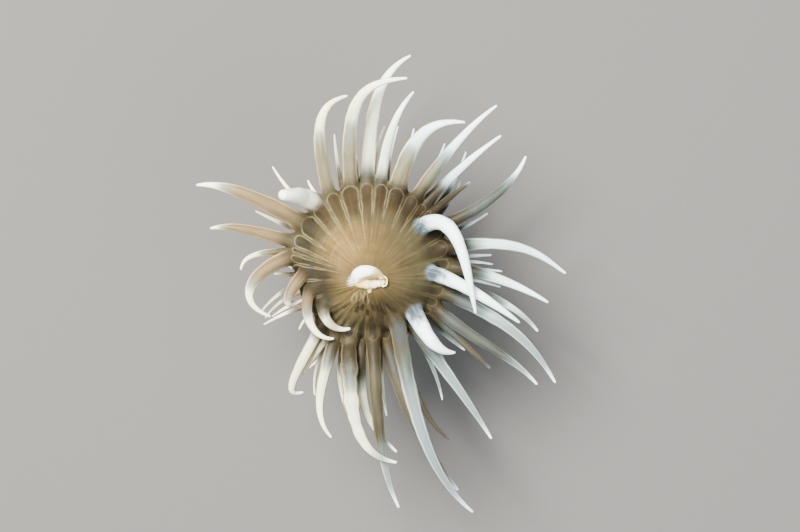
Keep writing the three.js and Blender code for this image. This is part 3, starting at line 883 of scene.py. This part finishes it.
def corner_line(loop):
    """Points round the small loop at the right corner of the mouth."""
    turn = np.linspace(loop["first_turn"] * np.pi, loop["last_turn"] * np.pi, LIP_STEPS // 2)
    x = MOUTH[0] + loop["x"] + loop["radius"] * np.cos(turn)
    y = MOUTH[1] + loop["y"] + loop["radius"] * loop["tall"] * np.sin(turn)
    return np.stack([x, y, np.full_like(x, LIP_TOP - loop["drop"])], 1)


def tag_line(tag):
    """Points down the small fold of lip that hangs over the front of the disc."""
    y = MOUTH[1] + np.linspace(tag["from"], tag["to"], LIP_STEPS // 4)
    line = on_disc_at(np.full_like(y, MOUTH[0] + tag["x"]), y, tag["lift"])
    return line, np.linspace(tag["thick"], tag["thin"], len(y))


# A rope of flesh is a line, the radius along it and how wide it is welded to what lies below.
back_rope = (*lip_line(*BACK_LIP), LIP_WELD)
front_line, front_radius = lip_line(*FRONT_LIP)
across = np.linspace(0.0, 1.0, LIP_STEPS)
beads = np.cos(LIP_BEADS * math.tau * across + 1.5 * np.sin(7 * across))
front_radius = front_radius * (1 + BEAD_DEPTH * beads * eased(across, *BEADED_SHARES))
front_ropes = [(front_line, front_radius, LIP_WELD)]
front_ropes += [(corner_line(CORNER_LOOP), CORNER_LOOP["thick"], CORNER_LOOP["weld"])]
front_ropes += [(*tag_line(LIP_TAG), LIP_WELD)]
throat_line, throat_radius = lip_line(*THROAT)
throat_rope = (throat_line - np.array([0, 0, THROAT_DEPTH]), throat_radius, THROAT_WELD)
mouth_top = np.array([*MOUTH, LIP_TOP])
slit_line = np.linspace(mouth_top + SLIT_LEFT, mouth_top + SLIT_RIGHT, LIP_STEPS)
slit_line[:, 1] += SLIT_BOW * np.cos(np.linspace(-np.pi / 2, np.pi / 2, LIP_STEPS))

# In front of the mouth the disc is gathered: short wavy folds run down from the left of the
# lip, and a row of small puckers lies below them.
FOLDS = {
    "count": 5, "x": -1.9, "spacing": 0.42, "spread": 0.3, "sway": 0.1, "waves": 9, "step": 2.1,
    "y": -3.5, "length": 2.3, "stagger": 0.2, "stagger_step": 3.0, "radius": 0.03, "lift": 0.02,
    "weld": 0.15,
}
PUCKERS = {
    "count": 8, "x": -1.5, "spacing": 0.62, "splay": 0.12, "middle": 2,
    "y": -5.9, "length": 0.5, "stagger": 0.4, "stagger_step": 2.3, "radius": 0.09, "lift": 0.04,
    "rounding": 0.12,
}
PUCKER_STEPS = 4

folds = []
for i in range(FOLDS["count"]):
    down = np.linspace(0.0, 1.0, LIP_STEPS // 2)
    x = (FOLDS["x"] + FOLDS["spacing"] * i) * (1 + FOLDS["spread"] * down)
    x = x + FOLDS["sway"] * np.sin(FOLDS["waves"] * down + FOLDS["step"] * i)
    y = FOLDS["y"] + FOLDS["stagger"] * math.sin(FOLDS["stagger_step"] * i)
    folds.append(on_disc_at(x, y - FOLDS["length"] * down, FOLDS["lift"]))
puckers = []
for i in range(PUCKERS["count"]):
    down = np.linspace(0.0, 1.0, PUCKER_STEPS)
    x = PUCKERS["x"] + PUCKERS["spacing"] * i + PUCKERS["splay"] * (i - PUCKERS["middle"]) * down
    y = PUCKERS["y"] + PUCKERS["stagger"] * math.sin(PUCKERS["stagger_step"] * i)
    puckers.append(on_disc_at(x, y - PUCKERS["length"] * down, PUCKERS["lift"]))

# The back lip is plain white, and the front one creamy yellow with white beads. White streaks
# fan out from the left corner, and the slit between the lips gets painted brown shade.
LIP_WHITE = (0.95, 0.93, 0.86)
LIP_CREAM = (0.88, 0.83, 0.62)
LIP_TAN = (0.34, 0.25, 0.09)
LIP_YELLOW = (0.66, 0.5, 0.16)
SLIT_SHADE_BROWN = (0.15, 0.095, 0.03)
LIP_TAN_REACH = (0.7, 2.4)
BEAD_SIZE = 0.3
BEAD_STRETCH = 0.2
BEAD_EDGE = (0.42, 0.58)
BEADED_X = (-1.2, 0.2)
CORNER_FAN = (-1.75, -0.45)
CORNER_FAN_REACH = (1.4, 0.4)
CORNER_STREAK_EDGE = (0.46, 0.54)

lip_right = faded(less(skin_x, product(skin_y, 0.7)), *LIP_TAN_REACH)
back_lip_colour = layered(soaked(product(lip_right, 0.8)), LIP_WHITE, LIP_TAN)
bead_spots = mottle(place_at(skin_x, product(skin_y, BEAD_STRETCH), 0.0), BEAD_SIZE, 1.0)
beaded = product(faded(bead_spots, *BEAD_EDGE), faded(skin_x, *BEADED_X))
front_lip_colour = layered(beaded, LIP_YELLOW, LIP_CREAM)
corner_streaks = faded(disc_grain(*FIBRE_GRAIN, 0.5), *CORNER_STREAK_EDGE)
corner_patch = product(faded(mark("corner_gap"), *CORNER_FAN_REACH), corner_streaks)

# ------------------------------------------------------------------ laying up the block
# The block of cells that the flesh is laid up in. Distances are kept to a narrow band
# either side of the skin. The body is laid up first, then the lips, then each tentacle.

CELL = 0.12
BORDER = 1.2
BODY_REACH = 13.0
OVER_THE_DISC = 2.0
FAR = 3 * CELL
EMPTY = 4.0
node_boxes = np.array([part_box(node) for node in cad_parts]) / MM
box_low = node_boxes[:, 0].min(0) - BORDER
box_high = node_boxes[:, 1].max(0) + BORDER
cells = np.ceil((box_high - box_low) / CELL).astype(int) + 1
axes = [
    np.float32(low) + np.arange(count, dtype=np.float32) * np.float32(CELL)
    for low, count in zip(box_low, cells)
]
block = np.full(cells, EMPTY, np.float32)


def window(low, high):
    """The part of the block that holds a box in millimetres: its slices and its axes."""
    start = np.clip(np.floor((np.asarray(low) - box_low) / CELL).astype(int), 0, cells)
    stop = np.clip(np.ceil((np.asarray(high) - box_low) / CELL).astype(int) + 1, 0, cells)
    slices = tuple(slice(a, b) for a, b in zip(start, stop))
    x, y, z = (axis[part] for axis, part in zip(axes, slices))
    return slices, x[:, None, None], y[None, :, None], z[None, None, :]


def round_rod(x, y, z, start, end, start_radius, end_radius):
    """Distance to a short rod with round ends, and how far along it that is."""
    span = end - start
    from_x, from_y, from_z = x - start[0], y - start[1], z - start[2]
    share = (from_x * span[0] + from_y * span[1] + from_z * span[2]) / (span @ span)
    share = np.clip(share, 0.0, 1.0)
    from_x = from_x - share * span[0]
    from_y = from_y - share * span[1]
    from_z = from_z - share * span[2]
    gap = np.sqrt(from_x**2 + from_y**2 + from_z**2)
    return gap - (start_radius + (end_radius - start_radius) * share), share


SHARP_WELD = 0.02


def rope_distance(points, radii, welds):
    """Distance to a rope of flesh along a line of points, with how wide it is to be welded."""
    radii, welds = (np.broadcast_to(sizes, len(points)) for sizes in (radii, welds))
    reach = radii.max() + welds.max() + FAR
    slices, *_ = window(points.min(0) - reach, points.max(0) + reach)
    rope = np.full(block[slices].shape, EMPTY, np.float32)
    weld = np.full(rope.shape, SHARP_WELD, np.float32)
    for i in range(len(points) - 1):
        near = radii[i] + welds[i] + FAR
        ends = points[i : i + 2]
        part, x, y, z = window(ends.min(0) - near, ends.max(0) + near)
        local = tuple(
            slice(max(own.start - all_of_it.start, 0), own.stop - all_of_it.start)
            for own, all_of_it in zip(part, slices)
        )
        gap, _ = round_rod(x, y, z, *ends.astype(np.float32), radii[i], radii[i + 1])
        closer = gap < rope[local]
        rope[local] = np.where(closer, gap, rope[local])
        weld[local] = np.where(closer, welds[i], weld[local])
    return slices, rope, weld


def lay_on(line, radius, weld):
    """Welds a rope of flesh to what is already in the block."""
    slices, rope, welds = rope_distance(line, radius, weld)
    block[slices] = welded(block[slices], rope, welds)


def press_in(line, radius, rounding):
    """Presses a groove with rounded edges into what is already in the block."""
    slices, groove, _ = rope_distance(line, radius, rounding)
    block[slices] = softer_of(block[slices], -groove, rounding)


slices, x, y, z = window(
    (-BODY_REACH, -BODY_REACH, -BORDER), (BODY_REACH, BODY_REACH, DISC_TOP + OVER_THE_DISC)
)
block[slices] = body_distance(x, y, z)

for rope in (back_rope, *front_ropes, throat_rope):
    lay_on(*rope)
press_in(slit_line, SLIT_RADIUS, SLIT_ROUNDING)
for line in folds:
    lay_on(line, FOLDS["radius"], FOLDS["weld"])
for line in puckers:
    press_in(line, PUCKERS["radius"], PUCKERS["rounding"])
body_alone = block.copy()

STEP = 0.4
FEWEST_STEPS = 8
RIPPLE_WAVES = ((0.6, 1.3), (0.4, 2.9))
RIPPLE_TO_SHARES = (0.4, 0.65)
RIPPLE_LOST = 0.8
WELD_FROM = 0.3
dice = np.random.default_rng(7)


def walk(tentacle):
    """Fills in the points, directions, radii and lengths along a tentacle."""
    poles, tip_radius, weld = tentacle["poles"], tentacle["tip_radius"], tentacle["weld"]
    rough = sum(np.linalg.norm(poles[i + 1] - poles[i]) for i in range(3))
    share = np.linspace(0.0, 1.0, max(int(rough / STEP), FEWEST_STEPS) + 1)
    t = share[:, None]
    line = (1 - t) ** 3 * poles[0] + 3 * (1 - t) ** 2 * t * poles[1]
    line = line + 3 * (1 - t) * t**2 * poles[2] + t**3 * poles[3]
    along = np.gradient(line, axis=0)
    length = np.concatenate([[0], np.cumsum(np.linalg.norm(np.diff(line, axis=0), axis=1))])
    radius = tip_radius + (tentacle["thick"] / 2 - tip_radius) * (1 - share**TAPER)
    flare = ROOT_FLARE - SMUDGED_FLARE_LOSS * tentacle["smudge"]
    flare = 1 + flare * (1 - eased(length, 0, ROOT_FLARE_LENGTH))
    starts = dice.uniform(0, math.tau, len(RIPPLE_WAVES))
    waves = zip(RIPPLE_WAVES, starts)
    wave = sum(height * np.sin(length * pace + start) for (height, pace), start in waves)
    ripple = 1 + tentacle["ripple"] * wave * (1 - RIPPLE_LOST * eased(share, *RIPPLE_TO_SHARES))
    tentacle["line"] = line
    tentacle["along"] = along / np.linalg.norm(along, axis=1)[:, None]
    tentacle["length"] = length
    tentacle["radius"] = radius * flare * ripple
    tentacle["welds"] = np.maximum(weld * (1 - eased(length, WELD_FROM, 3 * weld)), SHARP_WELD)


for tentacle in tentacles:
    walk(tentacle)
    slices, rope, welds = rope_distance(tentacle["line"], tentacle["radius"], tentacle["welds"])
    block[slices] = np.minimum(block[slices], welded(body_alone[slices], rope, welds))
del body_alone

# ----------------------------------------------------------------------------- the skin
# One closed skin is drawn through the block, and each point of it is told where it lies:
# on which tentacle, how far along, on its upper or under side, or where on the body.

grid = openvdb.FloatGrid(FAR)
grid.copyFromArray(np.clip(block, -FAR, FAR))
points, quads = grid.convertToQuads(isovalue=0.0)
points = points.astype(np.float64) * CELL + box_low
del block

NO_ROPE_NEAR = 9.0
NEAR = 0.8
WHITENING = 0.22
UP = np.array([0, 0, 1.0])


def gap_to_rope(places, line, radius):
    """Distance from each place to a rope, and how many steps along the rope it lies."""
    radius = np.broadcast_to(radius, len(line))
    best = np.full(len(places), NO_ROPE_NEAR)
    steps_along = np.zeros(len(places))
    for i in range(len(line) - 1):
        gap, share = round_rod(*places.T, line[i], line[i + 1], radius[i], radius[i + 1])
        closer = gap < best
        best = np.where(closer, gap, best)
        steps_along = np.where(closer, i + share, steps_along)
    return best, steps_along


def unit(arrows):
    """The same directions, each with a length of one."""
    return arrows / np.linalg.norm(arrows, axis=1)[:, None]


marks = {name: np.zeros(len(points)) for name in (*MARKS, "fold")}
nearest = np.full(len(points), NO_ROPE_NEAR)
for tentacle in tentacles:
    line, radius = tentacle["line"], tentacle["radius"]
    reach = radius.max() + NEAR
    mine = np.all((points > line.min(0) - reach) & (points < line.max(0) + reach), axis=1)
    mine = np.flatnonzero(mine)
    gap, steps_along = gap_to_rope(points[mine], line, radius)
    won = np.flatnonzero(gap < nearest[mine])
    mine, steps_along = mine[won], steps_along[won]
    step = np.clip(steps_along.astype(int), 0, len(line) - 2)
    part = (steps_along - step)[:, None]
    along = tentacle["along"][step]
    up = unit(UP - along * along[:, 2:3])
    out = unit(points[mine] - line[step] * (1 - part) - line[step + 1] * part)
    share = steps_along / (len(line) - 1)
    white_from = tentacle["white_from"]
    nearest[mine] = gap[won]
    marks["along"][mine] = share
    marks["from_root"][mine] = np.interp(steps_along, np.arange(len(line)), tentacle["length"])
    marks["upness"][mine] = (out * up).sum(1)
    marks["sideness"][mine] = (out * np.cross(along, up)).sum(1)
    marks["whiteness"][mine] = eased(share, white_from - WHITENING, white_from + WHITENING)
    marks["seed"][mine] = dice.uniform()
    for name in ("milky", "smudge", "brown"):
        marks[name][mine] = tentacle[name]

# The rest of the marks say where a point lies on the disc and round the mouth. Each mark of
# the mouth is one on its own piece and fades out over a short way.
CROWN_FADE = (-0.5, 0.9)
ON_DISC_FADE = (COLLAR_TOP - 1.0, COLLAR_TOP + 1.2)
BACK_LIP_FADE = (0.0, 0.22)
FRONT_LIP_FADE = (0.0, 0.15)
SLIT_FADE = (0.0, 0.3)
FOLD_FADE = (0.0, 0.14)
PUCKER_FADE = (-0.04, 0.2)
FOLD_MIDDLE = np.array([0.3, 0.5])
BELOW_CORNER = 0.9
BELOW_CORNER_LOSS = 2.5

near_mouth = np.hypot(points[:, 0], points[:, 1]) < BODY_REACH
near_mouth = np.flatnonzero(near_mouth & (points[:, 2] > COLLAR_TOP))


def gap_at_mouth(line, radius):
    """The same for every point of the skin and a rope of the mouth."""
    gap, steps_along = np.full(len(points), NO_ROPE_NEAR), np.zeros(len(points))
    gap[near_mouth], steps_along[near_mouth] = gap_to_rope(points[near_mouth], line, radius)
    return gap, steps_along


for line in folds:
    gap, steps_along = gap_at_mouth(line, FOLDS["radius"])
    ends_faded = banded(steps_along, 0, *(FOLD_MIDDLE * len(line)), len(line) - 2)
    on_fold = (1 - eased(gap, *FOLD_FADE)) * ends_faded
    marks["fold"] = np.maximum(marks["fold"], on_fold)
front_gap = np.min([gap_at_mouth(line, radius)[0] for line, radius, _ in front_ropes], 0)
pucker_gap = np.min([gap_at_mouth(line, PUCKERS["radius"])[0] for line in puckers], 0)
share, azimuth = disc_share(points[:, 0], points[:, 1])
lane = lane_of(azimuth) * math.tau / CHAMBERS
from_mouth = points[:, :2] - MOUTH
corner_gap = np.linalg.norm(from_mouth - CORNER_FAN, axis=1)
corner_gap = corner_gap + BELOW_CORNER_LOSS * np.maximum(-BELOW_CORNER - from_mouth[:, 1], 0.0)
marks.update(
    crown=eased(body_distance(*points.T) - nearest, *CROWN_FADE),
    disc_share=share,
    lane_cos=np.cos(lane),
    lane_sin=np.sin(lane),
    lane_width=MARGIN_RADIUS * share * lane_angle(azimuth),
    pleat=pleat(share, azimuth) / PLEAT_DEPTH,
    on_disc=eased(points[:, 2], *ON_DISC_FADE),
    back_lip=1 - eased(gap_at_mouth(*back_rope[:2])[0], *BACK_LIP_FADE),
    front_lip=1 - eased(front_gap, *FRONT_LIP_FADE),
    slit=1 - eased(gap_at_mouth(slit_line, SLIT_RADIUS)[0], *SLIT_FADE),
    pucker=1 - eased(pucker_gap, *PUCKER_FADE),
    corner_gap=np.where(points[:, 2] > COLLAR_TOP, corner_gap, CORNER_FAN_REACH[0]),
)

points[:, 2] = np.maximum(points[:, 2], 0.0)
mesh = bpy.data.meshes.new("anemone_skin")
mesh.vertices.add(len(points))
mesh.vertices.foreach_set("co", (points * MM).astype(np.float32).ravel())
mesh.loops.add(quads.size)
mesh.loops.foreach_set("vertex_index", quads.astype(np.int32).ravel())
mesh.polygons.add(len(quads))
mesh.polygons.foreach_set("loop_start", np.arange(0, quads.size, 4, dtype=np.int32))
mesh.polygons.foreach_set("use_smooth", np.ones(len(quads), bool))
mesh.update()
mesh.validate()
for name, values in marks.items():
    mesh.attributes.new(name, "FLOAT", "POINT").data.foreach_set("value", values.astype(np.float32))


def put_in_scene(name, data):
    """A new object in the scene."""
    piece = bpy.data.objects.new(name, data)
    bpy.context.scene.collection.objects.link(piece)
    return piece


skin = put_in_scene("anemone_skin", mesh)
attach(skin, "root")
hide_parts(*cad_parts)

# The colours of the pieces are laid over one another, from the column to the lips. Light
# sinks a little way into all of it, and water keeps it smooth and shiny.
CREASE_SHADE_BROWN = (0.013, 0.009, 0.003)
CREASE_DEPTH = (-0.35, -0.95)
CREASE_PATCHES = (0.9, 0.35, 0.6)
ROOT_TOP_UPNESS = (-0.2, 0.4)
ROOT_ALL_ROUND = (1.8, 0.9)
ROOT_BLEND = 3.4
SMUDGED_BLEND_LOSS = 2.6
ROOT_BLEND_END = 0.5
DISC_ROUGHNESS = 0.75
GLOSS_OF_CROWN = 0.25
PLAIN_FINISH = {
    "Subsurface Weight": 0.35,
    "Subsurface Scale": 0.00055,
    "Subsurface Radius": (1.0, 0.75, 0.5),
    "Specular IOR Level": 0.1,
}
GRAIN_SIZE = 0.22
GRAIN_HEIGHT = 0.00002

crown, on_disc = mark("crown"), mark("on_disc")
seen_above = more_of(faded(upness, *ROOT_TOP_UPNESS), faded(from_root, *ROOT_ALL_ROUND))
root_blend = less(ROOT_BLEND, product(smudge, SMUDGED_BLEND_LOSS))
near_root = product(faded(from_root, root_blend, ROOT_BLEND_END), seen_above)
in_crown = reckon("POWER", product(crown, rest_of(product(near_root, 0.8))), 2.2)
# Painted shade: brown in the troughs of the creases, in the pressed puckers and in the slit between
# the lips.
crease_shade = product(faded(mark("pleat"), *CREASE_DEPTH), patches(*CREASE_PATCHES), on_disc)
colour = coated(
    column_colour,
    (1.0, on_disc, disc_colour),
    (0.85, crease_shade, CREASE_SHADE_BROWN),
    (0.4, mark("fold"), LINE_CREAM),
    (1.0, soaked(product(mark("pucker"), 0.95)), CREASE_SHADE_BROWN),
    (1.0, in_crown, tentacle_colour),
    (0.75, corner_patch, LIP_WHITE),
    (1.0, mark("front_lip"), front_lip_colour),
    (1.0, mark("back_lip"), back_lip_colour),
    (0.9, mark("slit"), SLIT_SHADE_BROWN),
)
feed(shader.inputs["Base Color"], colour)
feed(shader.inputs["Roughness"], less(DISC_ROUGHNESS, product(crown, GLOSS_OF_CROWN)))
for name, value in PLAIN_FINISH.items():
    shader.inputs[name].default_value = value
bump = tree.nodes.new("ShaderNodeBump")
bump.inputs["Strength"].default_value = 1.0
bump.inputs["Distance"].default_value = GRAIN_HEIGHT
feed(bump.inputs["Height"], total(mottle(skin_spot, GRAIN_SIZE), product(fibres, 1.2)))
feed(shader.inputs["Normal"], bump.outputs[0])
mesh.materials.append(flesh)

# --------------------------------------------------------------- the floor, light and camera
# A plain pale table. A large soft light stands at the back left, and a weak cool one at the
# front right, and the camera looks straight down at the mouth.

FLOOR_SIZE = 3.0
PAPER_COLOUR = (0.0893, 0.0864, 0.0814)
PAPER_ROUGHNESS = 0.9

half = FLOOR_SIZE / 2
floor_mesh = bpy.data.meshes.new("floor")
corners = [(-half, -half, 0), (half, -half, 0), (half, half, 0), (-half, half, 0)]
floor_mesh.from_pydata(corners, [], [(0, 1, 2, 3)])
floor = put_in_scene("floor", floor_mesh)
paper = bpy.data.materials.new("floor_paper")
paper.use_nodes = True
paper_shader = paper.node_tree.nodes["Principled BSDF"]
paper_shader.inputs["Base Color"].default_value = (*PAPER_COLOUR, 1)
paper_shader.inputs["Roughness"].default_value = PAPER_ROUGHNESS
floor_mesh.materials.append(paper)

LIT_PLACE = Vector((0, 0, 0.02))


def soft_box(name, place, width, power, colour):
    """A square of soft light that faces the animal."""
    light = bpy.data.lights.new(name, "AREA")
    light.size = width
    light.energy = power
    light.color = colour
    lamp = put_in_scene(name, light)
    lamp.location = place
    lamp.rotation_euler = (LIT_PLACE - lamp.location).to_track_quat("-Z", "Y").to_euler()


soft_box("key_light", (-0.16, 0.15, 0.47), 0.22, 18.5, (1.0, 0.97, 0.93))
soft_box("fill_light", (0.30, -0.26, 0.34), 0.40, 3.2, (0.84, 0.92, 1.0))

ROOM_COLOUR = (0.9, 0.94, 1.0)
ROOM_LIGHT = 0.56
world = bpy.data.worlds.new("studio")
world.use_nodes = True
world.node_tree.nodes["Background"].inputs["Color"].default_value = (*ROOM_COLOUR, 1)
world.node_tree.nodes["Background"].inputs["Strength"].default_value = ROOM_LIGHT
bpy.context.scene.world = world

CAMERA_HEIGHT = 0.45
FRAME_WIDTH = 0.104
FRAME_MIDDLE = (0.0039, -0.00052)
CROWN_HEIGHT = 0.0217
camera_data = bpy.data.cameras.new("camera")
camera_data.lens = camera_data.sensor_width * CAMERA_HEIGHT / FRAME_WIDTH
camera = put_in_scene("camera", camera_data)
camera.location = (*FRAME_MIDDLE, CROWN_HEIGHT + CAMERA_HEIGHT)
bpy.context.scene.camera = camera
